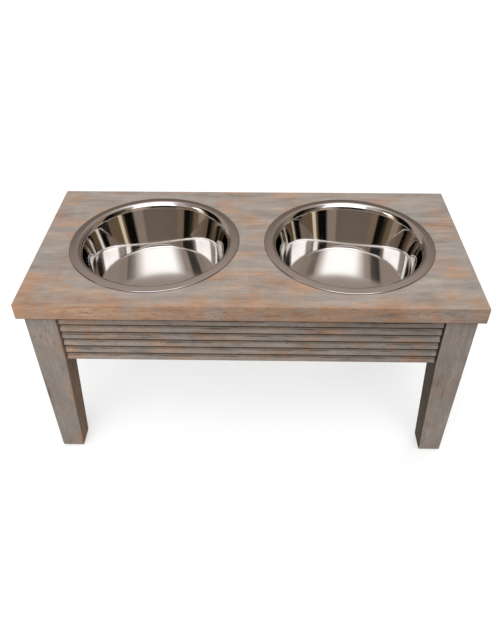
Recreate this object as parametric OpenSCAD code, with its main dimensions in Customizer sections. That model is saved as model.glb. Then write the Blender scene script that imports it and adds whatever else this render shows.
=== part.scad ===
// Raised dog feeder: a wooden stand on four legs with two steel bowls that lift out.
// Millimetres. The origin is on the floor under the middle of the board, +Y is the back.

/* [Board] */
// Length of the board, left to right
board_l = 560; // [530:1:700]
// Depth of the board, front to back
board_d = 272; // [256:1:360]
// Thickness of the board
board_t = 22; // [15:0.5:28]
// Chamfer along the edges of the board and of its two holes
board_ease = 1; // [0.4:0.1:3]
// Overhang of the board past the legs
overhang = 7; // [2:0.5:14]

/* [Legs] */
// Length of a leg, without its glide
leg_l = 246.5; // [200:0.5:400]
// Width of a leg at the top
leg_w = 38; // [32:0.5:44]
// Width of a leg at the foot
foot_w = 30; // [23:0.5:32]
// Width of the flat planed on a leg's inner corner for its bolt
leg_flat_w = 11; // [9:0.5:16]

/* [Aprons] */
// Thickness of an apron, measured at the lip of a lap
apron_t = 16; // [14:0.5:20]
// Setback of the aprons behind the outer faces of the legs
apron_setback = 4; // [1:0.5:8]
// Number of laps down an apron
lap_count = 6; // [5:1:8]
// Height of one lap
lap_h = 11.7; // [10:0.1:14]
// Depth of the step under each lap
lap_step = 3.2; // [1.5:0.1:4]
// Height of the plain strip above the laps
head_h = 5.8; // [3:0.1:12]

/* [Bowls] */
// Distance between the centres of the bowls
bowl_spacing = 258; // [235:1:274]
// Distance of the bowls' centres behind the middle of the board
bowl_setback = 2; // [0:0.5:8]
// Diameter over the rim
rim_d = 223.4; // [210:0.2:232]
// Width of the rim, from its edge to the start of the shoulder
rim_w = 6.2; // [4:0.1:9]
// Height of the rim's top above the board
rim_h = 1.8; // [1.4:0.1:3]
// Radius of the shoulder between rim and wall
shoulder_r = 10; // [6:0.1:13]
// Depth inside, from the rim's top to the floor
bowl_depth = 65.5; // [45:0.5:80]
// Diameter of the flat floor
floor_d = 157; // [130:0.5:164]
// Radius between wall and floor
floor_fillet_r = 2.5; // [1.5:0.1:8]
// Thickness of the steel sheet
sheet_t = 0.8; // [0.5:0.05:1.2]
// Clearance round a bowl in the board
hole_clearance = 1; // [0.5:0.1:2]

/* [Corner and centre blocks] */
// Thickness of a corner block
block_t = 20; // [16:0.5:24]
// Height of a corner block
block_h = 50; // [44:0.5:58]
// Gap between a corner block and the flat on its leg
block_gap = 3; // [1:0.5:5]
// Length of a centre block
centre_l = 60; // [44:1:80]
// Depth of a centre block
centre_d = 18; // [14:0.5:24]
// Height of a centre block
centre_h = 28; // [26:0.5:36]

/* [Leg bolts] */
// Diameter of a hanger bolt
bolt_d = 6; // [5:0.5:7]
// Length of a hanger bolt inside its leg
bolt_bite = 24; // [18:0.5:30]
// Length of a hanger bolt past its nut
bolt_tail = 4; // [1:0.5:6]
// Clearance round a hanger bolt in its block
bolt_clearance = 0.5; // [0.2:0.1:1]
// Chamfer at the two ends of a hanger bolt
bolt_ease = 1; // [0.5:0.1:1.5]
// Diameter of a washer
washer_d = 18; // [14:0.5:22]
// Thickness of a washer
washer_t = 1.5; // [1:0.1:2]
// Diameter of a wing nut's hub
hub_d = 11; // [9:0.5:13]
// Height of a wing nut's hub
hub_h = 7; // [5:0.5:9]
// Width over the two wings of a nut
wing_span = 28; // [24:0.5:34]
// Radius of a wing's round end
wing_r = 4; // [3:0.1:5]
// Height of a wing above the washer
wing_h = 12; // [10:0.5:14]
// Thickness of a wing
wing_t = 2.2; // [1.5:0.1:3]

/* [Screws] */
// Diameter of a screw
screw_d = 4; // [3:0.1:5]
// Diameter of a screw's head
head_d = 8; // [6.5:0.1:9]
// Height of a screw's head
screw_head_h = 2.4; // [1.8:0.1:3]
// Rounding of a screw's head
head_ease = 0.8; // [0.3:0.1:1.4]
// Length of a screw's point
point_l = 4; // [2:0.5:6]
// Length of the cross recess
recess_l = 4.2; // [3:0.1:5]
// Width of the cross recess
recess_w = 0.9; // [0.6:0.1:1.2]
// Depth of the cross recess
recess_depth = 1.2; // [0.8:0.1:1.6]
// Length of a screw from a block into an apron
block_screw_l = 18; // [16:0.5:20]
// Length of a screw from a block into the board
top_screw_l = 35; // [28:0.5:40]
// Wood left between a screw's point and the grooves of an apron
apron_skin = 4; // [2:0.5:6]
// Wood left between a screw's point and the top of the board
top_skin = 7; // [3:0.5:9]
// Distance of a screw in a corner block from the block's top and bottom
screw_edge = 12; // [9:0.5:14]
// Distance of a screw into the board from the bolt
top_screw_offset = 13; // [11:0.5:15]
// Distance of a screw in a centre block from its middle
centre_screw_offset = 20; // [12:0.5:22]
// Clearance round a screw's head
head_clearance = 0.5; // [0.2:0.1:0.8]
// Clearance round a thread or a nail in wood
thread_gap = 0.05; // [0.02:0.01:0.1]

/* [Glides] */
// Diameter of a glide
glide_d = 20; // [14:0.5:22]
// Thickness of a glide
glide_t = 2.5; // [2:0.1:5]
// Chamfer round a glide's lower edge
glide_ease = 0.6; // [0.3:0.1:1]
// Diameter of a glide's nail
nail_d = 2.4; // [1.6:0.1:3]
// Length of a nail in the leg
nail_bite = 16; // [10:0.5:22]
// Length of a nail's point
nail_point_l = 3; // [1.5:0.1:5]
// Diameter of a nail's head
nail_head_d = 7; // [5:0.1:9]
// Thickness of a nail's head
nail_head_t = 0.8; // [0.5:0.1:1]

/* [Hidden] */
$fn = 96;
// How far a cut runs past the face that it opens
cut = 1;
// Straight pieces in one rounded stretch of a bowl's profile
arc_steps = 10;

// Levels
under_z = glide_t + leg_l;
top_z = under_z + board_t;
apron_h = lap_count * lap_h + head_h;
apron_z = under_z - apron_h;
block_z = under_z - block_h;
bolt_z = under_z - block_h / 2;

// Plan of the frame
leg_x = board_l / 2 - overhang;
leg_y = board_d / 2 - overhang;
apron_in = apron_setback + apron_t;
long_face = leg_y - apron_in;
end_face = leg_x - apron_in;
long_l = 2 * (leg_x - leg_w);
end_l = 2 * (leg_y - leg_w);

// Plan of a corner, measured inwards from the outer corner of the leg
leg_flat = leg_w - leg_flat_w / sqrt(2) / 2;
block_near = 2 * leg_flat + block_gap * sqrt(2);
block_far = block_near + block_t * sqrt(2);
block_mid = (block_near + block_far) / 2;
screw_along = block_mid - apron_in;
top_shift = top_screw_offset / sqrt(2);

// Stations along a leg bolt, measured from the flat on the leg
washer_at = block_gap + block_t;
nut_at = washer_at + washer_t;
bolt_end = nut_at + hub_h + bolt_tail;

// Seats of the screws
apron_bite = apron_t - lap_step - apron_skin;
block_grip = block_screw_l - apron_bite;
top_seat_z = top_z - top_skin - top_screw_l;
block_levels = [under_z - screw_edge, block_z + screw_edge];
centre_level = under_z - centre_h / 2;
long_spots = [
    for (side = [-1, 1], level = block_levels) [side * (leg_x - screw_along), level],
    for (side = [-1, 1]) [side * centre_screw_offset, centre_level],
];
end_spots = [
    for (side = [-1, 1], level = block_levels) [side * (leg_y - screw_along), level],
];
top_spots = [
    for (side = [-1, 1], end = [-1, 1], shift = [-top_shift, top_shift])
        [side * (leg_x - block_mid / 2 - shift), end * (leg_y - block_mid / 2 + shift)],
    for (end = [-1, 1]) [0, end * (long_face - centre_d / 2)],
];
corners = [for (side = [-1, 1], end = [-1, 1]) [side, end]];

// Centres of the three rounded stretches of a bowl, from its axis and the board's top
rim_r = rim_d / 2;
edge_centre = [rim_r - rim_h, 0];
shoulder_centre = [rim_r - rim_w, rim_h - shoulder_r];
floor_level = rim_h - bowl_depth;
fillet_centre = [floor_d / 2, floor_level + floor_fillet_r];
wall_span = shoulder_centre - fillet_centre;
wall_tilt = atan2(wall_span.x, wall_span.y) - asin((shoulder_r + floor_fillet_r) / norm(wall_span));
// Radius of a bowl's outside where it passes the board's top
shoulder_under_r = shoulder_r - sheet_t;
pass_r = shoulder_centre.x - sqrt(pow(shoulder_under_r, 2) - pow(shoulder_centre.y, 2));
hole_r = pass_r + hole_clearance;

wood_colour = [0.65, 0.60, 0.57];
inner_wood_colour = [0.74, 0.62, 0.46];
steel_colour = [0.80, 0.80, 0.80];
zinc_colour = [0.68, 0.69, 0.71];
plastic_colour = [0.16, 0.15, 0.15];

function arc(centre, radius, from, to) = [
    for (step = [0:arc_steps])
        let (angle = from + (to - from) * step / arc_steps)
        centre + radius * [cos(angle), sin(angle)]
];

// Puts children at one corner, with +X and +Y running inwards from the leg's outer corner
module at_corner(side, end) {
    translate([side * leg_x, end * leg_y, 0])
        mirror([side > 0 ? 1 : 0, 0, 0])
            mirror([0, end > 0 ? 1 : 0, 0])
                children();
}

// Puts children on a leg bolt's line, with +Z running from the leg's flat to the nut
module on_bolt_line() {
    translate([leg_flat, leg_flat, bolt_z])
        rotate([0, 90, 45])
            children();
}

// Puts children at the foot of a leg, in the corner's own directions
module at_foot() {
    translate([foot_w / 2, foot_w / 2, 0])
        children();
}

// Puts children on the seats of the screws into a long apron, with their heads along +Z
module at_long_screws(end) {
    for (spot = long_spots)
        translate([spot.x, end * (long_face - block_grip), spot.y])
            rotate([end * 90, 0, 0])
                children();
}

// Puts children on the seats of the screws into an end apron, with their heads along +Z
module at_end_screws(side) {
    for (spot = end_spots)
        translate([side * (end_face - block_grip), spot.x, spot.y])
            rotate([0, -side * 90, 0])
                children();
}

// Puts children on the seats of the screws into the board, with their heads along +Z
module at_top_screws() {
    for (spot = top_spots)
        translate([spot.x, spot.y, top_seat_z])
            rotate([180, 0, 0])
                children();
}

module screw(length) {
    shank_r = screw_d / 2;
    head_r = head_d / 2;
    difference() {
        rotate_extrude()
            polygon([
                [0, -length],
                [shank_r, point_l - length],
                [shank_r, 0],
                [head_r, 0],
                [head_r, screw_head_h - head_ease],
                [head_r - head_ease, screw_head_h],
                [0, screw_head_h],
            ]);
        for (turn = [0, 90])
            rotate(turn)
                translate([-recess_l / 2, -recess_w / 2, screw_head_h - recess_depth])
                    cube([recess_l, recess_w, recess_depth + cut]);
    }
}

// Room for a screw's shank, and for its head along the way that it was driven in
module screw_hole(length, way_in) {
    translate([0, 0, -length - thread_gap])
        cylinder(d = screw_d + 2 * thread_gap, h = length + 2 * thread_gap);
    cylinder(d = head_d + 2 * head_clearance, h = way_in);
}

module board_edge_cuts() {
    side = board_ease * sqrt(2);
    for (level = [under_z, top_z]) {
        for (end = [-1, 1])
            translate([0, end * board_d / 2, level])
                rotate([45, 0, 0])
                    cube([board_l + 2 * cut, side, side], center = true);
        for (end = [-1, 1])
            translate([end * board_l / 2, 0, level])
                rotate([0, 45, 0])
                    cube([side, board_d + 2 * cut, side], center = true);
    }
    for (corner = corners)
        translate([corner.x * board_l / 2, corner.y * board_d / 2, under_z + board_t / 2])
            rotate(45)
                cube([side, side, board_t + 2 * cut], center = true);
}

module bowl_hole() {
    translate([0, 0, under_z - cut])
        cylinder(r = hole_r, h = board_t + 2 * cut);
    translate([0, 0, top_z - board_ease])
        cylinder(r1 = hole_r, r2 = hole_r + board_ease + cut, h = board_ease + cut);
    translate([0, 0, under_z - cut])
        cylinder(r1 = hole_r + board_ease + cut, r2 = hole_r, h = board_ease + cut);
}

module top_board() {
    color(wood_colour)
        difference() {
            translate([-board_l / 2, -board_d / 2, under_z])
                cube([board_l, board_d, board_t]);
            board_edge_cuts();
            for (side = [-1, 1])
                translate([side * bowl_spacing / 2, bowl_setback, 0])
                    bowl_hole();
            at_top_screws()
                screw_hole(top_screw_l, block_h);
        }
}

// A milled apron whose laps face +Y, each lap leaning out to a lip that stands over the next
module apron(length, inner_face) {
    face = concat(
        [[0, 0]],
        [
            for (lap = [0:lap_count - 1])
                each [[apron_t, lap * lap_h], [apron_t - lap_step, (lap + 1) * lap_h]]
        ],
        [[apron_t - lap_step, apron_h], [0, apron_h]]
    );
    translate([-length / 2, inner_face, apron_z])
        rotate([90, 0, 90])
            linear_extrude(length)
                polygon(face);
}

module long_apron(end) {
    color(wood_colour)
        difference() {
            mirror([0, end < 0 ? 1 : 0, 0])
                apron(long_l, long_face);
            at_long_screws(end)
                screw_hole(block_screw_l, block_t);
        }
}

module end_apron(side) {
    color(wood_colour)
        difference() {
            rotate(-side * 90)
                apron(end_l, end_face);
            at_end_screws(side)
                screw_hole(block_screw_l, block_t);
        }
}

module leg_outline() {
    polygon([
        [0, glide_t],
        [foot_w, glide_t],
        [leg_w, apron_z],
        [leg_w, under_z],
        [0, under_z],
    ]);
}

// A leg with straight outer faces and two inner faces that taper below the aprons
module leg(side, end) {
    flat_cut = leg_flat_w / sqrt(2);
    color(wood_colour)
        at_corner(side, end)
            difference() {
                intersection() {
                    translate([0, leg_w, 0])
                        rotate([90, 0, 0])
                            linear_extrude(leg_w)
                                leg_outline();
                    rotate([90, 0, 90])
                        linear_extrude(leg_w)
                            leg_outline();
                }
                translate([leg_w, leg_w, apron_z])
                    linear_extrude(apron_h + cut)
                        polygon([[-flat_cut - cut, cut], [cut, -flat_cut - cut], [cut, cut]]);
                on_bolt_line()
                    translate([0, 0, -bolt_bite - thread_gap])
                        cylinder(d = bolt_d + 2 * thread_gap, h = bolt_bite + leg_flat_w);
                at_foot()
                    nail(thread_gap);
            }
}

// A block set across the corner, with one end on each apron
module corner_block(side, end) {
    color(inner_wood_colour)
        difference() {
            at_corner(side, end)
                translate([0, 0, block_z])
                    linear_extrude(block_h)
                        polygon([
                            [apron_in, block_near - apron_in],
                            [apron_in, block_far - apron_in],
                            [block_far - apron_in, apron_in],
                            [block_near - apron_in, apron_in],
                        ]);
            at_corner(side, end)
                on_bolt_line()
                    cylinder(d = bolt_d + 2 * bolt_clearance, h = bolt_end);
            at_long_screws(end)
                screw_hole(block_screw_l, block_t);
            at_end_screws(side)
                screw_hole(block_screw_l, block_t);
            at_top_screws()
                screw_hole(top_screw_l, block_h);
        }
}

// A block in the middle of a long apron, which holds the board down between the bowls
module centre_block(end) {
    color(inner_wood_colour)
        difference() {
            translate([-centre_l / 2, end * (long_face - centre_d / 2) - centre_d / 2, under_z - centre_h])
                cube([centre_l, centre_d, centre_h]);
            at_long_screws(end)
                screw_hole(block_screw_l, centre_d);
            at_top_screws()
                screw_hole(top_screw_l, centre_h);
        }
}

module hanger_bolts() {
    bolt_r = bolt_d / 2;
    color(zinc_colour)
        for (corner = corners)
            at_corner(corner.x, corner.y)
                on_bolt_line()
                    rotate_extrude()
                        polygon([
                            [0, -bolt_bite],
                            [bolt_r - bolt_ease, -bolt_bite],
                            [bolt_r, bolt_ease - bolt_bite],
                            [bolt_r, bolt_end - bolt_ease],
                            [bolt_r - bolt_ease, bolt_end],
                            [0, bolt_end],
                        ]);
}

module bolt_washers() {
    color(zinc_colour)
        for (corner = corners)
            at_corner(corner.x, corner.y)
                on_bolt_line()
                    translate([0, 0, washer_at])
                        difference() {
                            cylinder(d = washer_d, h = washer_t);
                            translate([0, 0, -cut])
                                cylinder(d = bolt_d + 2 * bolt_clearance, h = washer_t + 2 * cut);
                        }
}

// One wing as a flat outline, from the nut's axis out to its round end
module wing_outline() {
    tip = [wing_span / 2 - wing_r, wing_h - wing_r];
    lean = wing_r * [cos(45), sin(45)];
    polygon([
        [0, 0],
        [hub_d / 2, 0],
        [tip.x + lean.x, tip.y - lean.y],
        [tip.x - lean.x, tip.y + lean.y],
        [0, hub_h],
    ]);
    translate(tip)
        circle(wing_r);
}

module wing_nut() {
    difference() {
        union() {
            cylinder(d = hub_d, h = hub_h);
            rotate([90, 0, 0])
                linear_extrude(wing_t, center = true) {
                    wing_outline();
                    mirror([1, 0])
                        wing_outline();
                }
        }
        translate([0, 0, -cut])
            cylinder(d = bolt_d + 2 * thread_gap, h = wing_h + 2 * cut);
    }
}

module wing_nuts() {
    color(zinc_colour)
        for (corner = corners)
            at_corner(corner.x, corner.y)
                on_bolt_line()
                    translate([0, 0, nut_at])
                        rotate(90)
                            wing_nut();
}

module block_screws() {
    color(zinc_colour)
        for (end = [-1, 1]) {
            at_long_screws(end)
                screw(block_screw_l);
            at_end_screws(end)
                screw(block_screw_l);
        }
}

module top_screws() {
    color(zinc_colour)
        at_top_screws()
            screw(top_screw_l);
}

// A headed nail that stands in a glide and a leg, larger by gap all round where it is a hole
module nail(gap) {
    head_z = (glide_t - nail_head_t) / 2;
    nail_r = nail_d / 2 + gap;
    nail_top = glide_t + nail_bite + gap;
    rotate_extrude()
        polygon([
            [0, head_z - gap],
            [nail_head_d / 2 + gap, head_z - gap],
            [nail_head_d / 2 + gap, head_z + nail_head_t + gap],
            [nail_r, head_z + nail_head_t + gap],
            [nail_r, nail_top - nail_point_l],
            [0, nail_top],
        ]);
}

module glide_pads() {
    glide_r = glide_d / 2;
    color(plastic_colour)
        for (corner = corners)
            at_corner(corner.x, corner.y)
                at_foot()
                    difference() {
                        rotate_extrude()
                            polygon([
                                [0, 0],
                                [glide_r - glide_ease, 0],
                                [glide_r, glide_ease],
                                [glide_r, glide_t],
                                [0, glide_t],
                            ]);
                        nail(thread_gap);
                    }
}

module glide_nails() {
    color(zinc_colour)
        for (corner = corners)
            at_corner(corner.x, corner.y)
                at_foot()
                    nail(0);
}

// A pressed bowl: flat floor, sloping wall, rolled shoulder and a rim whose edge turns down
module bowl(side) {
    upper = concat(
        [[0, floor_level]],
        arc(fillet_centre, floor_fillet_r, -90, -wall_tilt),
        arc(shoulder_centre, shoulder_r, 180 - wall_tilt, 90),
        arc(edge_centre, rim_h, 90, 0)
    );
    under = concat(
        arc(edge_centre, rim_h - sheet_t, 0, 90),
        arc(shoulder_centre, shoulder_under_r, 90, 180 - wall_tilt),
        arc(fillet_centre, floor_fillet_r + sheet_t, -wall_tilt, -90),
        [[0, floor_level - sheet_t]]
    );
    color(steel_colour)
        translate([side * bowl_spacing / 2, bowl_setback, top_z])
            rotate_extrude()
                polygon(concat(upper, under));
}

top_board();
long_apron(-1);  // front_apron
long_apron(1);  // back_apron
end_apron(-1);  // left_apron
end_apron(1);  // right_apron
leg(-1, -1);  // front_left_leg
leg(1, -1);  // front_right_leg
leg(-1, 1);  // back_left_leg
leg(1, 1);  // back_right_leg
corner_block(-1, -1);  // front_left_corner_block
corner_block(1, -1);  // front_right_corner_block
corner_block(-1, 1);  // back_left_corner_block
corner_block(1, 1);  // back_right_corner_block
centre_block(-1);  // front_centre_block
centre_block(1);  // back_centre_block
hanger_bolts();
bolt_washers();
wing_nuts();
block_screws();
top_screws();
glide_pads();
glide_nails();
bowl(-1);  // left_bowl
bowl(1);  // right_bowl
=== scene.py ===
"""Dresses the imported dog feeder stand: washed wood, two steel bowls and the hardware below."""

import math

import bmesh
import bpy
from mathutils import Matrix, Vector


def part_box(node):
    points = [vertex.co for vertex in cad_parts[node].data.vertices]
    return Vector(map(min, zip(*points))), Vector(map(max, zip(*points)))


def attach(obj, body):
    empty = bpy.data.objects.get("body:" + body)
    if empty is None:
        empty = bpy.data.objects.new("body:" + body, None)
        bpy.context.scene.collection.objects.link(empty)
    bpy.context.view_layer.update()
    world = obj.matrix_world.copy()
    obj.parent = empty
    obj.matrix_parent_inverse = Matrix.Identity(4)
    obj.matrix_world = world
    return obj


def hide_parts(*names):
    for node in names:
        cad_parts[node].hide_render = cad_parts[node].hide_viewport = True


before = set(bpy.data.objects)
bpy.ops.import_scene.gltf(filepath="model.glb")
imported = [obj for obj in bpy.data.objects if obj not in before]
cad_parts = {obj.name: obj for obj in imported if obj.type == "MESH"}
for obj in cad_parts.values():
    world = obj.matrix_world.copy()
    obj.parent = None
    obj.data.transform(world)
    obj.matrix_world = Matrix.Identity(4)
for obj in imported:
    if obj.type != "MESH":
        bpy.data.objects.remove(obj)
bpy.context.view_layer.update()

MM = 0.001
STAND = "stand"

# Places, read from the frame
board_low, board_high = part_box("top_board")
leg_low, leg_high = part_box("back_right_leg")
long_low, long_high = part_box("back_apron")
end_low, end_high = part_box("right_apron")
bowl_low, bowl_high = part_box("right_bowl")

board_half = Vector((board_high.x, board_high.y, 0))
leg_outer = Vector((leg_high.x, leg_high.y, 0))
leg_width = leg_high.x - leg_low.x
leg_foot_z = leg_low.z
apron_z = long_low.z
apron_depth = long_high.y - long_low.y
board_under = board_low.z
board_top = board_high.z
bowl_x = (bowl_low.x + bowl_high.x) / 2
bowl_y = (bowl_low.y + bowl_high.y) / 2

# Sizes of shapes that the frame's boxes don't give
FOOT_WIDTH = 30 * MM
LEG_FLAT = 11 * MM
LAP_COUNT = 6
LAP_HEIGHT = 11.7 * MM
LAP_STEP = 3.2 * MM
HOLE_RADIUS = 102.3 * MM
RIM_RADIUS = 111.7 * MM
RIM_WIDTH = 9 * MM
RIM_HEIGHT = 1.8 * MM
RIM_EDGE = 0.9 * MM
SHOULDER_RADIUS = 4.5 * MM
SHOULDER_TURN = 40
HAUNCH_RADIUS = 12.5 * MM
WALL_BOW = 0.17 * MM
BOWL_DEPTH = 65.5 * MM
FLOOR_RADIUS = 78.5 * MM
FLOOR_FILLET = 2.5 * MM
SHEET = 0.8 * MM

# Roundings of the wood, and the gap at each end of an apron
BOARD_ROUND = 1.3 * MM
LEG_ROUND = 1.5 * MM
LIP_ROUND = 1.2 * MM
END_ROUND = 0.6 * MM
END_GAP = 0.3 * MM

# How finely the round shapes are stepped, and how edges and places are told apart
BOWL_STEPS = 192
HOLE_STEPS = 128
SHARP_ANGLE = math.radians(20)
SQUARE_ANGLE = math.radians(60)
TOLERANCE = 0.01 * MM

# Marks of the wood: their scale along and across the grain, per metre, their detail and roughness
GRAIN_MARKS = {
    "Clouds": ((7, 12, 12), 2.0, 0.5),
    "Blotches": ((20, 30, 30), 4.0, 0.6),
    "Patches": ((17, 58, 58), 5.0, 0.65),
    "Streaks": ((15, 210, 210), 4.0, 0.6),
    "Flecks": ((110, 400, 400), 3.0, 0.6),
    "Fibres": ((60, 1100, 1100), 2.0, 0.6),
    "Brush marks": ((70, 12, 12), 3.0, 0.55),
}

# Where the board was cut from the grain pattern, in metres
BOARD_GRAIN_SHIFT = (2.45, 0.70, 0.27)


# Nodes of the materials

class Nodes:
    """Adds nodes to one tree and joins them up."""

    def __init__(self, tree):
        self.tree = tree

    def put(self, socket, value):
        if isinstance(value, bpy.types.NodeSocket):
            self.tree.links.new(value, socket)
        else:
            socket.default_value = value

    def add(self, kind, inputs=None, **settings):
        node = self.tree.nodes.new(kind)
        for name, value in settings.items():
            setattr(node, name, value)
        for name, value in (inputs or {}).items():
            self.put(node.inputs[name], value)
        return node

    def math(self, operation, *values):
        node = self.add("ShaderNodeMath", operation=operation)
        for socket, value in zip(node.inputs, values):
            self.put(socket, value)
        return node.outputs[0]

    def ramp(self, value, low, high, start=0.0, end=1.0):
        """Goes smoothly from start to end as value goes from low to high."""
        inputs = {"Value": value, "From Min": low, "From Max": high, "To Min": start, "To Max": end}
        return self.add("ShaderNodeMapRange", inputs, interpolation_type="SMOOTHSTEP").outputs[0]

    def line(self, value, low, high, start, end):
        """Goes in a straight line from start to end as value goes from low to high."""
        inputs = {"Value": value, "From Min": low, "From Max": high, "To Min": start, "To Max": end}
        return self.add("ShaderNodeMapRange", inputs).outputs[0]

    def blend(self, factor, first, second, mode="MIX"):
        node = self.add("ShaderNodeMix", data_type="RGBA", blend_type=mode)
        for index, value in ((0, factor), (6, first), (7, second)):
            self.put(node.inputs[index], value)
        return node.outputs[2]

    def noise(self, vector, scale, detail=2.0, roughness=0.5):
        """Noise with its own scale along each axis, per metre."""
        stretch = {0: vector, 1: scale}
        stretched = self.add("ShaderNodeVectorMath", stretch, operation="MULTIPLY").outputs[0]
        inputs = {"Vector": stretched, "Scale": 1.0, "Detail": detail, "Roughness": roughness}
        return self.add("ShaderNodeTexNoise", inputs).outputs[0]

    def split(self, vector):
        return self.add("ShaderNodeSeparateXYZ", {0: vector}).outputs

    def join(self, x, y, z):
        return self.add("ShaderNodeCombineXYZ", {0: x, 1: y, 2: z}).outputs[0]

    def place(self):
        """The point's place in the piece's own space, which is the frame's."""
        return self.add("ShaderNodeTexCoord").outputs["Object"]

    def group(self, tree, inputs):
        return self.add("ShaderNodeGroup", inputs, node_tree=tree).outputs


def srgb(red, green, blue):
    """A colour given in the usual 0 to 255 steps, as light."""
    light = []
    for step in (red, green, blue):
        share = step / 255
        light.append(share / 12.92 if share <= 0.04045 else ((share + 0.055) / 1.055) ** 2.4)
    return (*light, 1.0)


# Colours of the finishes
WARM_WASH = srgb(162, 150, 141)
COOL_WASH = srgb(155, 145, 138)
BRUSHED_WASH = srgb(160, 153, 145)
PALE_WASH = srgb(182, 174, 166)
RUBBED_WOOD = srgb(175, 142, 118)
WORN_WOOD = srgb(184, 135, 101)
STAINED_WOOD = srgb(122, 96, 78)
# The dark of the glaze, which also serves as painted shade
DARK_GLAZE_AND_SHADE = srgb(60, 48, 30)
PALE_PINE = srgb(206, 172, 126)
PINE_RINGS = srgb(178, 136, 92)
PINE_FIBRES = srgb(140, 100, 64)
BRIGHT_STEEL = (0.76, 0.735, 0.705, 1)
SMEARED_STEEL = (0.69, 0.665, 0.64, 1)
SATIN_STEEL = (0.81, 0.785, 0.76, 1)
RIM_PAINTED_SHADOW = (0.03, 0.025, 0.02, 1)
COOL_ZINC = (0.60, 0.61, 0.63, 1)
WARM_ZINC = (0.72, 0.71, 0.66, 1)
DARK_PLASTIC = (0.028, 0.026, 0.025, 1)
GREY_PLASTIC = (0.05, 0.047, 0.045, 1)


def new_group(name, inputs, outputs):
    """An empty shader node group with these sockets, each given as its name and kind."""
    tree = bpy.data.node_groups.new(name, "ShaderNodeTree")
    for direction, sockets in (("INPUT", inputs), ("OUTPUT", outputs)):
        for label, kind in sockets.items():
            tree.interface.new_socket(label, in_out=direction, socket_type="NodeSocket" + kind)
    nodes = Nodes(tree)
    return nodes, nodes.add("NodeGroupInput").outputs, nodes.add("NodeGroupOutput")


def new_material(name):
    """An empty material, its nodes and its surface shader."""
    material = bpy.data.materials.new(name)
    material.use_nodes = True
    material.node_tree.nodes.clear()
    nodes = Nodes(material.node_tree)
    shader = nodes.add("ShaderNodeBsdfPrincipled")
    nodes.add("ShaderNodeOutputMaterial", {"Surface": shader.outputs[0]})
    return material, nodes, shader


def add_bump(nodes, shader, height, strength, distance):
    """Raises the surface a little where this height is great."""
    inputs = {"Height": height, "Strength": strength, "Distance": distance}
    nodes.put(shader.inputs["Normal"], nodes.add("ShaderNodeBump", inputs).outputs[0])


# Effects shared by the materials

def make_grain_group():
    """Marks of wood at several sizes, with the grain along X."""
    sockets = {name: "Float" for name in GRAIN_MARKS}
    nodes, given, result = new_group("Wood grain", {"Vector": "Vector"}, sockets)
    for name, (scale, detail, roughness) in GRAIN_MARKS.items():
        nodes.put(result.inputs[name], nodes.noise(given["Vector"], scale, detail, roughness))
    return nodes.tree


def make_edge_group():
    """How far a point of a squared piece lies from its nearest edge, from its depth each way."""
    nodes, given, result = new_group(
        "Edge distance",
        {"Depth X": "Float", "Depth Y": "Float", "Depth Z": "Float"},
        {"Distance": "Float"},
    )
    low = nodes.math("MINIMUM", given["Depth X"], given["Depth Y"])
    high = nodes.math("MAXIMUM", given["Depth X"], given["Depth Y"])
    rest = nodes.math("MINIMUM", high, given["Depth Z"])
    nodes.put(result.inputs["Distance"], nodes.math("MAXIMUM", low, rest))
    return nodes.tree


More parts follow.
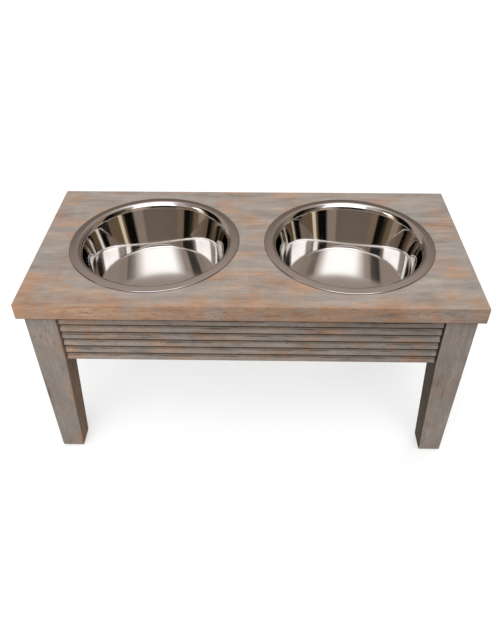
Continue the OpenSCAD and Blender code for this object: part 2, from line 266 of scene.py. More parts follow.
def make_wash_group(grain):
    """Grey wash brushed over wood, rubbed through to warm patches, with glaze and painted shade in
    the grooves and recesses.
    """
    nodes, given, result = new_group(
        "Grey wash",
        {
            "Vector": "Vector", "Edge": "Float", "Glaze and painted shade": "Float", "Rub": "Float",
            "Stain": "Float", "Brush": "Float", "Pale": "Float", "Shade": "Float",
        },
        {"Color": "Color", "Roughness": "Float", "Height": "Float"},
    )
    found = nodes.group(grain, {"Vector": given["Vector"]})
    clouds = found["Clouds"]
    blotches = found["Blotches"]
    patches = found["Patches"]
    streaks = found["Streaks"]
    flecks = found["Flecks"]
    fibres = found["Fibres"]

    # The wash and its brush marks
    wash = nodes.blend(nodes.ramp(clouds, 0.38, 0.62), WARM_WASH, COOL_WASH)
    brushed = nodes.math("MULTIPLY", nodes.ramp(found["Brush marks"], 0.42, 0.68), given["Brush"])
    wash = nodes.blend(brushed, wash, BRUSHED_WASH)

    # Where it is rubbed thin
    score = nodes.math("MULTIPLY_ADD", blotches, 0.8, given["Rub"])
    score = nodes.math("MULTIPLY_ADD", clouds, 0.35, score)
    score = nodes.math("MULTIPLY_ADD", streaks, 0.25, score)
    score = nodes.math("MULTIPLY_ADD", flecks, 0.15, score)
    rubbed = nodes.ramp(score, 0.70, 0.94)
    colour = nodes.blend(rubbed, wash, RUBBED_WOOD)
    colour = nodes.blend(nodes.math("MULTIPLY", brushed, 0.55), colour, BRUSHED_WASH)

    # Where it is worn off, and where it lies thick
    edge_reach = nodes.line(flecks, 0.42, 0.64, 0.4 * MM, 5 * MM)
    worn_edge = nodes.math("SUBTRACT", 1.0, nodes.ramp(given["Edge"], 0.0, edge_reach))
    bare = nodes.math("MULTIPLY_ADD", flecks, 0.5, nodes.math("MULTIPLY", rubbed, 0.30))
    bare = nodes.math("MULTIPLY_ADD", worn_edge, 0.17, bare)
    colour = nodes.blend(nodes.ramp(bare, 0.50, 0.84, 0.0, 0.8), colour, WORN_WOOD)
    colour = nodes.blend(given["Pale"], colour, PALE_WASH)

    # Stains, and the tone of the grain
    specks = nodes.math("MULTIPLY", nodes.ramp(flecks, 0.51, 0.68), nodes.ramp(patches, 0.42, 0.62))
    stained = nodes.math("MAXIMUM", specks, nodes.ramp(patches, 0.30, 0.44, 0.7, 0.0))
    colour = nodes.blend(nodes.math("MULTIPLY", stained, given["Stain"]), colour, STAINED_WOOD)
    tone = nodes.line(fibres, 0.25, 0.75, 0.92, 1.08)
    tone = nodes.math("MULTIPLY", tone, nodes.line(streaks, 0.3, 0.7, 0.90, 1.10))
    tone = nodes.math("MULTIPLY", tone, nodes.line(patches, 0.3, 0.7, 0.80, 1.20))
    # Painted light and shade: the Shade input darkens the tone where it is above zero and lightens it
    # where it is below
    tone = nodes.math("MULTIPLY", tone, nodes.math("SUBTRACT", 1.0, given["Shade"]))
    colour = nodes.blend(1.0, colour, nodes.join(tone, tone, tone), "MULTIPLY")

    # Glaze, and painted shade in the grooves and recesses, over it all
    glaze_and_painted_shade = nodes.math("MULTIPLY_ADD", nodes.math("SUBTRACT", flecks, 0.5), 0.2, given["Glaze and painted shade"])
    colour = nodes.blend(nodes.ramp(glaze_and_painted_shade, 0.08, 0.95), colour, DARK_GLAZE_AND_SHADE)
    nodes.put(result.inputs["Color"], colour)
    nodes.put(result.inputs["Roughness"], nodes.line(streaks, 0.3, 0.7, 0.72, 0.56))
    nodes.put(result.inputs["Height"], nodes.math("MULTIPLY_ADD", streaks, 0.6, fibres))
    return nodes.tree


# Finishes

def washed_wood(name, wash, finish):
    """A grey-washed finish, whose inputs are worked out from the point's x, y and z."""
    material, nodes, shader = new_material(name)
    x, y, z = nodes.split(nodes.place())
    found = nodes.group(wash, finish(nodes, x, y, z))
    nodes.put(shader.inputs["Base Color"], found["Color"])
    nodes.put(shader.inputs["Roughness"], found["Roughness"])
    add_bump(nodes, shader, found["Height"], 0.35, 0.4 * MM)
    shader.inputs["Specular IOR Level"].default_value = 0.15
    return material


def rim_distance(nodes, x, y):
    """How far a point lies from the axis of the bowl on its side."""
    across = nodes.math("SUBTRACT", nodes.math("ABSOLUTE", x), bowl_x)
    along = nodes.math("SUBTRACT", y, bowl_y)
    squares = nodes.math("MULTIPLY_ADD", across, across, nodes.math("MULTIPLY", along, along))
    return nodes.math("SQRT", squares)


def board_finish(nodes, x, y, z):
    """Grain along the board, rubbed most at its sides, with glaze at its top edges, painted shade
    along its lower edges, painted light and shade on its sides, and a painted shadow round each rim
    over a worn ring beneath it.
    """
    depth_x = nodes.math("SUBTRACT", board_half.x, nodes.math("ABSOLUTE", x))
    depth_y = nodes.math("SUBTRACT", board_half.y, nodes.math("ABSOLUTE", y))
    above = nodes.math("SUBTRACT", z, board_under)
    below = nodes.math("SUBTRACT", board_top, z)
    depth_z = nodes.math("MINIMUM", above, below)
    depths = {"Depth X": depth_x, "Depth Y": depth_y, "Depth Z": depth_z}
    inwards = nodes.math("MINIMUM", depth_x, depth_y)
    on_side = nodes.ramp(inwards, 0.2 * MM, 1.2 * MM, 1.0, 0.0)
    left_rub = nodes.line(x, -board_half.x, board_half.x, 0.08, 0.0)
    side_rub = nodes.math("MULTIPLY", on_side, left_rub)
    on_border = nodes.ramp(depth_y, 1.2 * MM, 11 * MM, 0.05, 0.0)
    to_front = nodes.ramp(y, -board_half.y, -board_half.y + 50 * MM, 0.06, 0.0)
    # Painted light and shade on the sides: lighter towards the left end, darker from the middle to
    # the right
    side_painted_light_and_shade = nodes.line(x, -board_half.x, 0.0, -0.20, 0.08)
    # Painted shade along the board's lower edges, where it overhangs the aprons and legs
    under_edge_painted_shade = nodes.ramp(above, 0.5 * MM, 1.8 * MM, 0.8, 0.0)
    high_edge = nodes.ramp(below, 1.0 * MM, 2.6 * MM, 0.26, 0.0)
    near_side = nodes.ramp(inwards, 0.8 * MM, 1.6 * MM, 1.0, 0.0)
    # Painted shadow just outside each rim's edge, over a faint worn ring beneath the rim
    from_rim = nodes.math("SUBTRACT", rim_distance(nodes, x, y), RIM_RADIUS + 0.3 * MM)
    under_rim = nodes.ramp(from_rim, -RIM_WIDTH, -0.5 * MM, 0.15, 0.6)
    to_rim = nodes.ramp(from_rim, 0.4 * MM, 1.4 * MM, 1.0, 0.0)
    rim_wear_and_painted_shadow = nodes.math("MULTIPLY", under_rim, to_rim)
    glaze_and_painted_shade = nodes.math("MULTIPLY", nodes.math("MAXIMUM", under_edge_painted_shade, high_edge), near_side)
    shifted = {0: nodes.join(x, y, z), 1: BOARD_GRAIN_SHIFT}
    return {
        "Vector": nodes.add("ShaderNodeVectorMath", shifted, operation="ADD").outputs[0],
        "Edge": nodes.group(edge_group, depths)["Distance"],
        "Glaze and painted shade": nodes.math("MAXIMUM", glaze_and_painted_shade, rim_wear_and_painted_shadow),
        "Rub": nodes.math("ADD", nodes.math("ADD", side_rub, on_border), to_front),
        "Stain": nodes.math("MULTIPLY_ADD", on_side, 0.45, 0.2),
        "Brush": 0.7,
        "Shade": nodes.math("MULTIPLY", side_painted_light_and_shade, on_side),
    }


def leg_finish(nodes, x, y, z):
    """Grain up the leg, with glaze and painted shade on its two inner faces, darker on the right legs
    and in the reveal beside the aprons, and a little painted shade all over.
    """
    width = nodes.line(z, leg_foot_z, apron_z, FOOT_WIDTH, leg_width)
    outside_x = nodes.math("SUBTRACT", leg_outer.x, nodes.math("ABSOLUTE", x))
    outside_y = nodes.math("SUBTRACT", leg_outer.y, nodes.math("ABSOLUTE", y))
    depths = {
        "Depth X": nodes.math("MINIMUM", outside_x, nodes.math("SUBTRACT", width, outside_x)),
        "Depth Y": nodes.math("MINIMUM", outside_y, nodes.math("SUBTRACT", width, outside_y)),
        "Depth Z": nodes.math("SUBTRACT", z, leg_foot_z),
    }
    inwards = nodes.math("SUBTRACT", nodes.math("MAXIMUM", outside_x, outside_y), width)
    # Glaze and painted shade on the inner faces, darker towards the right legs, with its own strength
    # in the reveal above the aprons' bottom edge
    inner_glaze_and_painted_shade = nodes.line(x, -leg_outer.x, leg_outer.x, 0.42, 0.82)
    reveal_glaze_and_painted_shade = nodes.line(x, -leg_outer.x, leg_outer.x, 0.18, 0.82)
    glaze_and_painted_shade = nodes.ramp(z, apron_z - 4 * MM, apron_z + 4 * MM, inner_glaze_and_painted_shade, reveal_glaze_and_painted_shade)
    on_inner = nodes.ramp(inwards, -0.8 * MM, -0.3 * MM)
    edge_rub = nodes.line(x, -leg_outer.x, leg_outer.x, 0.12, 0.0)
    near_inner = nodes.ramp(inwards, -11 * MM, -1 * MM, 0.0, edge_rub)
    inner_rub = nodes.math("MULTIPLY_ADD", on_inner, 0.25, near_inner)
    return {
        "Vector": nodes.join(z, x, y),
        "Edge": nodes.group(edge_group, depths)["Distance"],
        "Glaze and painted shade": nodes.math("MULTIPLY", on_inner, glaze_and_painted_shade),
        "Rub": nodes.math("SUBTRACT", inner_rub, 0.10),
        "Stain": 0.5,
        "Brush": 0.5,
        # Painted shade darkening each leg a little, the right legs a touch more
        "Shade": nodes.line(x, -leg_outer.x, leg_outer.x, 0.07, 0.08),
    }


def lap_finish(nodes, along, out, z, half_length, inner_face):
    """Grain along the apron, worn lips, painted shade at the foot of each lip and up each lap, glaze
    and painted shade in its groove, a broken glaze streak, painted shade darker towards one end, and
    pale ends.
    """
    height = nodes.math("FLOORED_MODULO", nodes.math("SUBTRACT", z, apron_z), LAP_HEIGHT)
    to_end = nodes.math("SUBTRACT", half_length, nodes.math("ABSOLUTE", along))
    # Painted shade: a dark line at the foot of each lip, the upper part of each lap darker under the
    # lip above it, and glaze with painted shade in the groove
    lip = nodes.ramp(height, 0.03 * LAP_HEIGHT, 0.13 * LAP_HEIGHT, 0.5, 0.0)
    upper_painted_shade = nodes.ramp(height, 0.38 * LAP_HEIGHT, 0.60 * LAP_HEIGHT, 0.0, 0.42)
    groove_glaze_and_painted_shade = nodes.ramp(height, 0.70 * LAP_HEIGHT, 0.88 * LAP_HEIGHT, 0.0, 0.75)
    from_streak = nodes.math("ABSOLUTE", nodes.math("SUBTRACT", height, 0.52 * LAP_HEIGHT))
    place = nodes.join(along, z, out)
    broken = nodes.ramp(nodes.noise(place, (26, 90, 90), 3.0), 0.48, 0.62, 0.0, 0.42)
    near_streak = nodes.ramp(from_streak, 0.0, 0.09 * LAP_HEIGHT, 1.0, 0.0)
    streak = nodes.math("MULTIPLY", near_streak, broken)
    glaze_and_painted_shade = nodes.math("MAXIMUM", nodes.math("ADD", nodes.math("ADD", upper_painted_shade, groove_glaze_and_painted_shade), streak), lip)
    thickness = nodes.math("SUBTRACT", nodes.math("ABSOLUTE", out), inner_face)
    on_laps = nodes.ramp(thickness, 0.3 * apron_depth, 0.6 * apron_depth)
    plain = nodes.math("SUBTRACT", 1.0, on_laps)
    finer = {0: place, "Scale": 1.5}
    return {
        "Vector": nodes.add("ShaderNodeVectorMath", finer, operation="SCALE").outputs[0],
        "Edge": nodes.math("MULTIPLY_ADD", plain, LAP_HEIGHT, height),
        "Glaze and painted shade": nodes.math("MULTIPLY", glaze_and_painted_shade, on_laps),
        "Rub": -0.03,
        "Stain": 0.5,
        "Brush": 0.2,
        "Pale": nodes.ramp(to_end, 1 * MM, 12 * MM, 0.5, 0.0),
        # Painted shade on the apron under the board's overhang, darker towards one end
        "Shade": nodes.line(along, -half_length, half_length, 0.05, 0.21),
    }


def long_apron_finish(nodes, x, y, z):
    return lap_finish(nodes, x, y, z, long_high.x, long_low.y)


def end_apron_finish(nodes, x, y, z):
    return lap_finish(nodes, y, x, z, end_high.y, end_low.x)


def make_steel():
    """Pressed stainless steel: polished wall and shoulder, turned satin floor and rim, with painted
    shadow at the foot of the rim's lip.
    """
    material, nodes, shader = new_material("bowl_steel")
    x, y, z = nodes.split(nodes.place())
    radius = rim_distance(nodes, x, y)
    rim_top = board_top + RIM_HEIGHT
    floor_z = rim_top - BOWL_DEPTH
    on_floor = nodes.math("SUBTRACT", 1.0, nodes.ramp(z, floor_z + 0.2 * MM, floor_z + 1.5 * MM))
    on_rim = nodes.ramp(radius, RIM_RADIUS - RIM_WIDTH, RIM_RADIUS - RIM_WIDTH + 1 * MM)
    satin = nodes.math("MAXIMUM", on_floor, on_rim)
    turned = nodes.noise(nodes.join(radius, 0.0, z), (2600, 1, 900), 3.0, 0.6)
    smears = nodes.noise(nodes.join(x, y, z), (30, 30, 60), 3.0, 0.5)
    rough = nodes.math("MULTIPLY_ADD", on_floor, 0.078, 0.027)
    rough = nodes.math("MULTIPLY_ADD", on_rim, 0.05, rough)
    marks = nodes.math("MULTIPLY", turned, satin)
    rough = nodes.math("MULTIPLY_ADD", marks, 0.06, rough)
    rough = nodes.math("MULTIPLY_ADD", nodes.math("MULTIPLY", smears, smears), 0.05, rough)
    nodes.put(shader.inputs["Roughness"], rough)
    colour = nodes.blend(smears, BRIGHT_STEEL, SMEARED_STEEL)
    colour = nodes.blend(on_floor, colour, SATIN_STEEL)
    # Painted shadow where the rim's lip meets the board
    on_lip = nodes.ramp(radius, RIM_RADIUS - 0.5 * MM, RIM_RADIUS - 0.2 * MM)
    at_board = nodes.ramp(z, board_top, board_top + 0.5 * MM, 0.9, 0.0)
    colour = nodes.blend(nodes.math("MULTIPLY", on_lip, at_board), colour, RIM_PAINTED_SHADOW)
    nodes.put(shader.inputs["Base Color"], colour)
    add_bump(nodes, shader, marks, 0.05, 0.05 * MM)
    shader.inputs["Metallic"].default_value = 1.0
    return material


def make_zinc():
    """Bright zinc plate with faint clouding."""
    material, nodes, shader = new_material("bright_zinc")
    clouds = nodes.noise(nodes.place(), (260, 260, 260), 3.0, 0.6)
    nodes.put(shader.inputs["Base Color"], nodes.blend(clouds, COOL_ZINC, WARM_ZINC))
    nodes.put(shader.inputs["Roughness"], nodes.line(clouds, 0.3, 0.7, 0.22, 0.42))
    shader.inputs["Metallic"].default_value = 1.0
    return material


def make_bare_wood(name, grain, turn):
    """Planed pine with no finish, its grain turned this far from the board's."""
    material, nodes, shader = new_material(name)
    turned = nodes.add("ShaderNodeMapping", {"Vector": nodes.place(), "Rotation": (0, 0, -turn)})
    found = nodes.group(grain, {"Vector": turned.outputs[0]})
    rings = nodes.ramp(found["Streaks"], 0.38, 0.62)
    colour = nodes.blend(rings, PALE_PINE, PINE_RINGS)
    colour = nodes.blend(nodes.ramp(found["Fibres"], 0.55, 0.75, 0.0, 0.4), colour, PINE_FIBRES)
    nodes.put(shader.inputs["Base Color"], colour)
    nodes.put(shader.inputs["Roughness"], nodes.line(found["Fibres"], 0.3, 0.7, 0.7, 0.58))
    add_bump(nodes, shader, found["Fibres"], 0.3, 0.3 * MM)
    return material


def make_glide_plastic():
    """Moulded dark plastic with a fine eggshell texture."""
    material, nodes, shader = new_material("moulded_plastic")
    pores = nodes.noise(nodes.place(), (1800, 1800, 1800), 2.0)
    nodes.put(shader.inputs["Base Color"], nodes.blend(pores, DARK_PLASTIC, GREY_PLASTIC))
    nodes.put(shader.inputs["Roughness"], nodes.line(pores, 0.3, 0.7, 0.5, 0.62))
    add_bump(nodes, shader, pores, 0.2, 0.1 * MM)
    return material


grain_group = make_grain_group()
edge_group = make_edge_group()
wash_group = make_wash_group(grain_group)

board_wash = washed_wood("board_wash", wash_group, board_finish)
leg_wash = washed_wood("leg_wash", wash_group, leg_finish)
long_apron_wash = washed_wood("long_apron_wash", wash_group, long_apron_finish)
end_apron_wash = washed_wood("end_apron_wash", wash_group, end_apron_finish)
stainless_steel = make_steel()
zinc_plate = make_zinc()
straight_pine = make_bare_wood("straight_pine", grain_group, 0.0)
left_turned_pine = make_bare_wood("left_turned_pine", grain_group, math.pi / 4)
right_turned_pine = make_bare_wood("right_turned_pine", grain_group, -math.pi / 4)
glide_plastic = make_glide_plastic()


# Shapes

def new_piece(name, shape, material, body, slot, *nodes):
    """Makes a piece of a finished shape, which stands for these nodes of the frame."""
    mesh = bpy.data.meshes.new(name)
    shape.to_mesh(mesh)
    shape.free()
    mesh.materials.append(material)
    piece = bpy.data.objects.new(name, mesh)
    bpy.context.scene.collection.objects.link(piece)
    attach(piece, body)
    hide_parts(*nodes)


def cut(shape, cutter):
    """Takes one closed shape out of another."""
    holders = []
    for part in (shape, cutter):
        mesh = bpy.data.meshes.new("cut_part")
        part.to_mesh(mesh)
        part.free()
        holder = bpy.data.objects.new("cut_part", mesh)
        bpy.context.scene.collection.objects.link(holder)
        holders.append(holder)
    whole, tool = holders
    boolean = whole.modifiers.new("cut", "BOOLEAN")
    boolean.operation = "DIFFERENCE"
    boolean.solver = "EXACT"
    boolean.object = tool
    bpy.context.view_layer.update()
    seen = whole.evaluated_get(bpy.context.evaluated_depsgraph_get())
    result = bmesh.new()
    result.from_mesh(seen.to_mesh())
    seen.to_mesh_clear()
    for holder in holders:
        mesh = holder.data
        bpy.data.objects.remove(holder)
        bpy.data.meshes.remove(mesh)
    return result


def round_edges(shape, edges, size, segments=3):
    """Rounds these edges over, smooth on the rounding and flat beside it."""
    made = bmesh.ops.bevel(
        shape, geom=edges, offset=size, offset_type="OFFSET", affect="EDGES",
        segments=segments, profile=0.5, material=-1, clamp_overlap=True,
    )
    for face in made["faces"]:
        face.smooth = True


def box_shape(low, high):
    """A box between two corners."""
    shape = bmesh.new()
    place = Matrix.Translation((low + high) / 2)
    stretch = Matrix.Diagonal((*(high - low), 1))
    bmesh.ops.create_cube(shape, size=1, matrix=place @ stretch)
    return shape


def sharp_edges(shape, angle):
    """The edges whose two faces turn by more than this angle."""
    return [edge for edge in shape.edges if edge.calc_face_angle(0) > angle]


def arc(centre, radius, start, end, steps):
    """Points along an arc in the plane of a bowl's profile, between two angles in degrees."""
    points = []
    for step in range(steps + 1):
        angle = math.radians(start + (end - start) * step / steps)
        points.append(centre + radius * Vector((math.cos(angle), math.sin(angle))))
    return points


def bowed_line(start, end, bow, steps):
    """Points between two ends, on a line that bows outwards by this much at its middle."""
    outwards = Vector((end.y - start.y, start.x - end.x)).normalized()
    points = []
    for step in range(1, steps):
        share = step / steps
        points.append(start.lerp(end, share) + outwards * bow * 4 * share * (1 - share))
    return points


def bowl_shape(side):
    """A bowl's two skins, spun about its axis."""
    edge_centre = Vector((RIM_RADIUS - RIM_EDGE, 0))
    shoulder_centre = Vector((RIM_RADIUS - RIM_WIDTH, RIM_HEIGHT - SHOULDER_RADIUS))
    fall = 90 - math.degrees(math.atan2(RIM_HEIGHT - RIM_EDGE, RIM_WIDTH - RIM_EDGE))
    turn = 90 + SHOULDER_TURN
    haunch_centre = arc(shoulder_centre, SHOULDER_RADIUS - HAUNCH_RADIUS, turn, turn, 1)[0]
    floor_level = RIM_HEIGHT - BOWL_DEPTH
    fillet_centre = Vector((FLOOR_RADIUS, floor_level + FLOOR_FILLET))
    span = haunch_centre - fillet_centre
    lean = math.atan2(span.x, span.y) - math.asin((HAUNCH_RADIUS + FLOOR_FILLET) / span.length)
    tilt = math.degrees(lean)
    inside = [Vector((0, floor_level)), Vector((FLOOR_RADIUS - SHEET, floor_level))]
    fillet = arc(fillet_centre, FLOOR_FILLET, -90, -tilt, 10)
    haunch = arc(haunch_centre, HAUNCH_RADIUS, 180 - tilt, turn, 10)
    inside += fillet + bowed_line(fillet[-1], haunch[0], WALL_BOW, 16) + haunch
    inside += arc(shoulder_centre, SHOULDER_RADIUS, turn, fall, 10)[1:]
    inside += arc(edge_centre, RIM_EDGE, fall, 0, 6)
    outside = arc(edge_centre, RIM_EDGE - SHEET, 0, fall, 5)
    outside += arc(shoulder_centre, SHOULDER_RADIUS - SHEET, fall, turn, 8)
    outside += arc(haunch_centre, HAUNCH_RADIUS - SHEET, turn, 180 - tilt, 8)[1:]
    outside += arc(fillet_centre, FLOOR_FILLET + SHEET, -tilt, -90, 10)
    under_level = floor_level - SHEET
    outside += [Vector((FLOOR_RADIUS - SHEET, under_level)), Vector((0, under_level))]
    shape = bmesh.new()
    centre = Vector((side * bowl_x, bowl_y, board_top))
    verts = [shape.verts.new(centre + Vector((point.x, 0, point.y))) for point in inside + outside]
    edges = [shape.edges.new(pair) for pair in zip(verts, verts[1:])]
    bmesh.ops.spin(
        shape, geom=verts + edges, cent=centre, axis=(0, 0, 1), angle=math.tau,
        steps=BOWL_STEPS, use_merge=True,
    )
    bmesh.ops.remove_doubles(shape, verts=shape.verts, dist=TOLERANCE)
    bmesh.ops.recalc_face_normals(shape, faces=shape.faces)
    for face in shape.faces:
        face.smooth = True
    return shape


def board_shape():
    """The board with its two holes and rounded edges."""
    shape = box_shape(board_low, board_high)
    round_edges(shape, shape.edges[:], BOARD_ROUND)
    for side in (-1, 1):
        hole = bmesh.new()
        middle = Matrix.Translation((side * bowl_x, bowl_y, (board_under + board_top) / 2))
        bmesh.ops.create_cone(
            hole, cap_ends=True, segments=HOLE_STEPS, radius1=HOLE_RADIUS, radius2=HOLE_RADIUS,
            depth=2 * (board_top - board_under), matrix=middle,
        )
        shape = cut(shape, hole)
    return shape


def apron_shape(length, turn, face):
    """A lapped apron of this length with its inner face this far out, turned to its side."""

    def on_end(edge):
        first, second = (vert.co.x for vert in edge.verts)
        return abs(abs(first) - length / 2) < TOLERANCE and abs(first - second) < TOLERANCE

    points = [(0, 0)]
    for lap in range(LAP_COUNT):
        points.append((apron_depth, lap * LAP_HEIGHT))
        points.append((apron_depth - LAP_STEP, (lap + 1) * LAP_HEIGHT))
    height = board_under - apron_z
    points += [(apron_depth - LAP_STEP, height), (0, height)]
    shape = bmesh.new()
    verts = [shape.verts.new((-length / 2, face + out, apron_z + up)) for out, up in points]
    end = shape.faces.new(verts)
    made = bmesh.ops.extrude_face_region(shape, geom=[end], use_keep_orig=True)
    moved = [item for item in made["geom"] if isinstance(item, bmesh.types.BMVert)]
    bmesh.ops.translate(shape, verts=moved, vec=(length, 0, 0))
    bmesh.ops.recalc_face_normals(shape, faces=shape.faces)
    lip = face + apron_depth - 0.1 * MM
    lips = [edge for edge in shape.edges if all(vert.co.y > lip for vert in edge.verts)]
    round_edges(shape, lips, LIP_ROUND)
    ends = [edge for edge in sharp_edges(shape, SQUARE_ANGLE) if on_end(edge)]
    round_edges(shape, ends, END_ROUND, 2)
    to_side = Matrix.Rotation(turn, 3, "Z")
    bmesh.ops.rotate(shape, verts=shape.verts, cent=(0, 0, 0), matrix=to_side)
    return shape


def leg_shape(side, end):
    """A leg whose inner faces taper below the aprons, with a flat between them for the bolt."""
    shape = box_shape(Vector((0, 0, apron_z)), Vector((leg_width, leg_width, board_under)))
    bottom = min(shape.faces, key=lambda face: face.calc_center_median().z)
    made = bmesh.ops.extrude_face_region(shape, geom=[bottom])
    foot = [item for item in made["geom"] if isinstance(item, bmesh.types.BMVert)]
    bmesh.ops.delete(shape, geom=[bottom], context="FACES_ONLY")
    shrink = FOOT_WIDTH / leg_width
    bmesh.ops.scale(shape, verts=foot, vec=(shrink, shrink, 1))
    bmesh.ops.translate(shape, verts=foot, vec=(0, 0, leg_foot_z - apron_z))
    bmesh.ops.recalc_face_normals(shape, faces=shape.faces)
    round_edges(shape, sharp_edges(shape, SHARP_ANGLE), LEG_ROUND)
    tool_low = Vector((0, -leg_width, apron_z))
    tool_high = Vector((leg_width, leg_width, board_under + leg_width))
    tool = box_shape(tool_low, tool_high)
    slant = Matrix.Rotation(math.pi / 4, 3, "Z")
    bmesh.ops.rotate(tool, verts=tool.verts, cent=(0, 0, 0), matrix=slant)
    flat = leg_width - LEG_FLAT / math.sqrt(2) / 2
    bmesh.ops.translate(tool, verts=tool.verts, vec=(flat, flat, 0))
    shape = cut(shape, tool)
    bmesh.ops.scale(shape, verts=shape.verts, vec=(-side, -end, 1))
    bmesh.ops.translate(shape, verts=shape.verts, vec=(side * leg_outer.x, end * leg_outer.y, 0))
    bmesh.ops.recalc_face_normals(shape, faces=shape.faces)
    return shape


new_piece("board", board_shape(), board_wash, STAND, "grey_washed_wood", "top_board")

long_length = long_high.x - long_low.x - 2 * END_GAP
end_length = end_high.y - end_low.y - 2 * END_GAP
for name, turn in (("back_apron", 0), ("front_apron", math.pi)):
    shape = apron_shape(long_length, turn, long_low.y)
    new_piece("lapped_" + name, shape, long_apron_wash, STAND, "grey_washed_wood", name)
for name, turn in (("left_apron", math.pi / 2), ("right_apron", -math.pi / 2)):
    shape = apron_shape(end_length, turn, end_low.x)
    new_piece("lapped_" + name, shape, end_apron_wash, STAND, "grey_washed_wood", name)

for depth_name, end in (("front", -1), ("back", 1)):
    for side_name, side in (("left", -1), ("right", 1)):
        name = f"{depth_name}_{side_name}_leg"
        shape = leg_shape(side, end)
        new_piece("tapered_" + name, shape, leg_wash, STAND, "grey_washed_wood", name)

for name, side in (("left_bowl", -1), ("right_bowl", 1)):
    new_piece("steel_" + name, bowl_shape(side), stainless_steel, name, "stainless_steel", name)

# The CAD parts that stay, each with its finish
hardware = {
    zinc_plate: (
        "hanger_bolts", "bolt_washers", "wing_nuts", "block_screws", "top_screws", "glide_nails",
    ),
    straight_pine: ("front_centre_block", "back_centre_block"),
    left_turned_pine: ("front_right_corner_block", "back_left_corner_block"),
    right_turned_pine: ("front_left_corner_block", "back_right_corner_block"),
    glide_plastic: ("glide_pads",),
}
for material, names in hardware.items():
    for name in names:
        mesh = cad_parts[name].data
        mesh.materials.clear()
        mesh.materials.append(material)


# Floor, light and camera

FLOOR_SIZE = 16.0
FLOOR_SEEN = (0.55, 0.55, 0.55, 1)
FLOOR_GLOW = 0.52
FLOOR_THROWN = (0.20, 0.19, 0.18, 1)


def make_floor():
    """A plain floor that keeps the stand's shadow: white to look at, and throws little light back."""
    shape = bmesh.new()
    bmesh.ops.create_grid(shape, x_segments=1, y_segments=1, size=FLOOR_SIZE / 2)
    mesh = bpy.data.meshes.new("floor")
    shape.to_mesh(mesh)
    shape.free()
    floor = bpy.data.objects.new("floor", mesh)
    bpy.context.scene.collection.objects.link(floor)
    material = bpy.data.materials.new("pale_floor")
    material.use_nodes = True
    material.node_tree.nodes.clear()
    nodes = Nodes(material.node_tree)
    path = nodes.add("ShaderNodeLightPath").outputs
    seen = nodes.math("MAXIMUM", path["Is Camera Ray"], path["Is Glossy Ray"])
    seen = nodes.math("MAXIMUM", seen, path["Is Transmission Ray"])
    tone = nodes.blend(seen, FLOOR_THROWN, FLOOR_SEEN)
    matte = nodes.add("ShaderNodeBsdfDiffuse", {"Color": tone}).outputs[0]
    strength = nodes.math("MULTIPLY", seen, FLOOR_GLOW)
    glow = nodes.add("ShaderNodeEmission", {"Strength": strength}).outputs[0]
    both = nodes.add("ShaderNodeAddShader", {0: matte, 1: glow}).outputs[0]
    nodes.add("ShaderNodeOutputMaterial", {"Surface": both})
    mesh.materials.append(material)


# The studio that the steel reflects. Each panel has its turn from the front and its climb from the
# horizon, in degrees with right and up positive, the softness of its edges and its light.
STUDIO_PANELS = (
    ("pale wall behind the left", (-142, -115), (-20, 58), 4, (0.41, 0.34, 0.30)),
    ("warm wall behind the right", (92, 114), (-20, 50), 4, (0.30, 0.225, 0.165)),
    ("grey wall left of the front", (-54, -30), (30, 66), 5, (0.58, 0.54, 0.55)),
    ("white wall at the front", (-30, 41), (30, 58), 6, (2.4, 2.45, 2.6)),
    ("brown wall on the right", (10, 70), (-20, 30), 4, (0.22, 0.165, 0.11)),
    ("pale board on the right", (20, 42), (-20, 27), 4, (0.46, 0.35, 0.28)),
    ("dark shelf on the right", (54, 76), (30, 46), 3, (0.02, 0.018, 0.018)),
    ("dim wall on the right", (60, 74), (-20, 30), 7, (0.04, 0.03, 0.02)),
    ("dark curtain on the right", (71, 92), (-20, 46), 3, (0.008, 0.007, 0.005)),
    ("brown wall on the left", (-84, -27), (-20, 30), 3, (0.21, 0.15, 0.095)),
    ("low window on the left", (-76, -65), (10, 29), 2, (1.1, 0.96, 0.76)),
    ("high window on the left", (-77, -61), (29, 42), 2.5, (1.7, 1.75, 1.7)),
    ("dark curtain on the left", (-111, -83), (-20, 50), 3, (0.006, 0.005, 0.005)),
    ("dark corner up on the left", (-98, -72), (52, 63), 4, (0.02, 0.016, 0.012)),
    ("dim corner up on the right", (62, 112), (48, 72), 5, (0.36, 0.30, 0.26)),
    ("dark bar up on the right", (68, 92), (57.5, 60.5), 1, (0.05, 0.035, 0.025)),
    ("dark screen at the front", (-27, 12), (-20, 27), 3, (0.03, 0.025, 0.02)),
)
# The wall behind the stand grows lighter as it climbs
WALL_LIGHT_LOW = (0.17, 0.135, 0.115, 1)
WALL_LIGHT_HIGH = (0.41, 0.34, 0.30, 1)
WALL_CLIMB = (13, 52)
# The box lamp overhead, as slopes from straight up, to the right and to the front. It grows brighter
# to the front, and nothing below its lowest climb counts.
LAMP_ACROSS = (-0.35, 0.46)
LAMP_AHEAD = (-0.42, 1.08)
LAMP_RISE = (-0.45, 0.5)
LAMP_SHARES = (0.1, 1.0)
LAMP_EDGE = 0.13
LAMP_LIGHT = (1.95, 1.95, 2.0, 1)
LAMP_LOWEST = 0.05
# The even light on the wood, from the horizon up to straight overhead
EVEN_LIGHT = (1, 0.99, 0.98, 1)
EVEN_STRENGTHS = (0.16, 0.62)


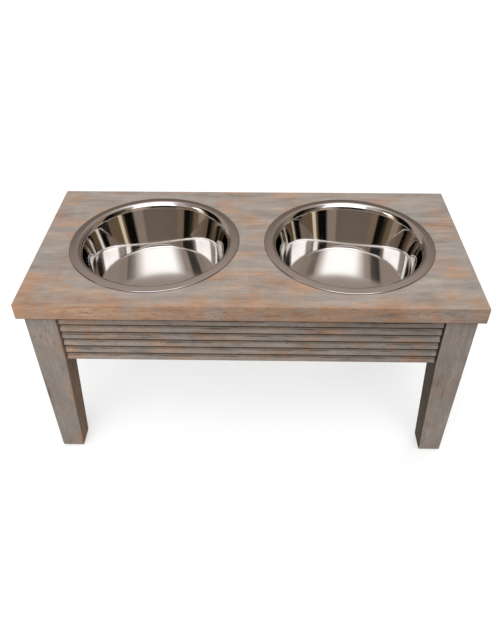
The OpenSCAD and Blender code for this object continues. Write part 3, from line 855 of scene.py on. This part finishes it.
def make_world():
    """Even soft light, a white backdrop for the camera, and a plain studio for the steel."""
    world = bpy.data.worlds.new("studio")
    bpy.context.scene.world = world
    world.use_nodes = True
    world.node_tree.nodes.clear()
    nodes = Nodes(world.node_tree)

    def band(value, limits, softness):
        rise = nodes.ramp(value, limits[0] - softness, limits[0] + softness)
        fall = nodes.ramp(value, limits[1] - softness, limits[1] + softness)
        return nodes.math("SUBTRACT", rise, fall)

    x, y, z = nodes.split(nodes.add("ShaderNodeTexCoord").outputs["Generated"])
    front = nodes.math("MULTIPLY", y, -1.0)
    turn = nodes.math("DEGREES", nodes.math("ARCTAN2", x, front))
    climb = nodes.math("DEGREES", nodes.math("ARCSINE", z))
    studio = nodes.blend(nodes.ramp(climb, *WALL_CLIMB), WALL_LIGHT_LOW, WALL_LIGHT_HIGH)
    for name, turns, climbs, softness, light in STUDIO_PANELS:
        inside = nodes.math("MULTIPLY", band(turn, turns, softness), band(climb, climbs, softness))
        inside.node.label = name
        studio = nodes.blend(inside, studio, (*light, 1))
    up = nodes.math("MAXIMUM", z, LAMP_LOWEST)
    ahead = nodes.math("DIVIDE", front, up)
    across = nodes.math("DIVIDE", x, up)
    in_width = band(across, LAMP_ACROSS, LAMP_EDGE)
    in_length = band(ahead, LAMP_AHEAD, LAMP_EDGE)
    lamp = nodes.math("MULTIPLY", in_width, in_length)
    lamp = nodes.math("MULTIPLY", lamp, nodes.line(ahead, *LAMP_RISE, *LAMP_SHARES))
    studio = nodes.blend(lamp, studio, LAMP_LIGHT)
    path = nodes.add("ShaderNodeLightPath").outputs
    even = {"Color": EVEN_LIGHT, "Strength": nodes.ramp(z, 0.0, 1.0, *EVEN_STRENGTHS)}
    soft = nodes.add("ShaderNodeBackground", even).outputs[0]
    white = nodes.add("ShaderNodeBackground", {"Color": (1, 1, 1, 1), "Strength": 1.0}).outputs[0]
    panorama = nodes.add("ShaderNodeBackground", {"Color": studio, "Strength": 1.0}).outputs[0]
    mirrored = {0: path["Is Glossy Ray"], 1: soft, 2: panorama}
    lit = nodes.add("ShaderNodeMixShader", mirrored).outputs[0]
    clear = nodes.math("MAXIMUM", path["Is Camera Ray"], path["Is Transmission Ray"])
    lit = nodes.add("ShaderNodeMixShader", {0: clear, 1: lit, 2: white}).outputs[0]
    nodes.add("ShaderNodeOutputWorld", {"Surface": lit})


def add_lamp(name, kind, energy, place, target):
    """A lamp at this place, aimed at the target, that the steel doesn't show."""
    data = bpy.data.lights.new(name, kind)
    data.energy = energy
    lamp = bpy.data.objects.new(name, data)
    lamp.location = place
    lamp.rotation_euler = (target - place).to_track_quat("-Z", "Y").to_euler()
    lamp.visible_glossy = False
    bpy.context.scene.collection.objects.link(lamp)
    return data


def make_lamps():
    """Broad soft lamps above the front and behind the right, and a small one at the left."""
    middle = Vector((0, 0, 0))
    spread = math.radians(60)
    softbox = add_lamp("softbox", "SUN", 1.73, Vector((-0.05, -0.77, 1)), middle)
    softbox.angle = spread
    back_light = add_lamp("back_light", "SUN", 0.9, Vector((0.5, 0.87, 0.47)), middle)
    back_light.angle = spread
    left_front = Vector((-0.2, -0.1, 0.2))
    side_light = add_lamp("side_light", "AREA", 1.6, Vector((-0.35, -0.9, 0.45)), left_front)
    side_light.size = 0.5


def make_camera():
    """The photograph's view, worked out from the board's corners and the legs."""
    image_height = 642
    focal_pixels = 616.2
    pitch = math.radians(40.721)
    yaw = math.radians(-1.180)
    roll = math.radians(0.190)
    data = bpy.data.cameras.new("camera")
    data.sensor_fit = "VERTICAL"
    data.sensor_height = 24.0
    data.lens = focal_pixels * data.sensor_height / image_height
    camera = bpy.data.objects.new("camera", data)
    reach = math.cos(pitch)
    look = Vector((math.sin(yaw) * reach, math.cos(yaw) * reach, -math.sin(pitch)))
    level = Vector((math.cos(yaw), -math.sin(yaw), 0))
    down = look.cross(level)
    right = math.cos(roll) * level + math.sin(roll) * down
    below = math.cos(roll) * down - math.sin(roll) * level
    turn = Matrix((right, -below, -look)).transposed()
    place = Vector((12.8, -689.1, 726.4)) * MM
    camera.matrix_world = Matrix.Translation(place) @ turn.to_4x4()
    bpy.context.scene.collection.objects.link(camera)
    bpy.context.scene.camera = camera


make_floor()
make_world()
make_lamps()
make_camera()
bpy.context.scene.view_settings.view_transform = "Standard"
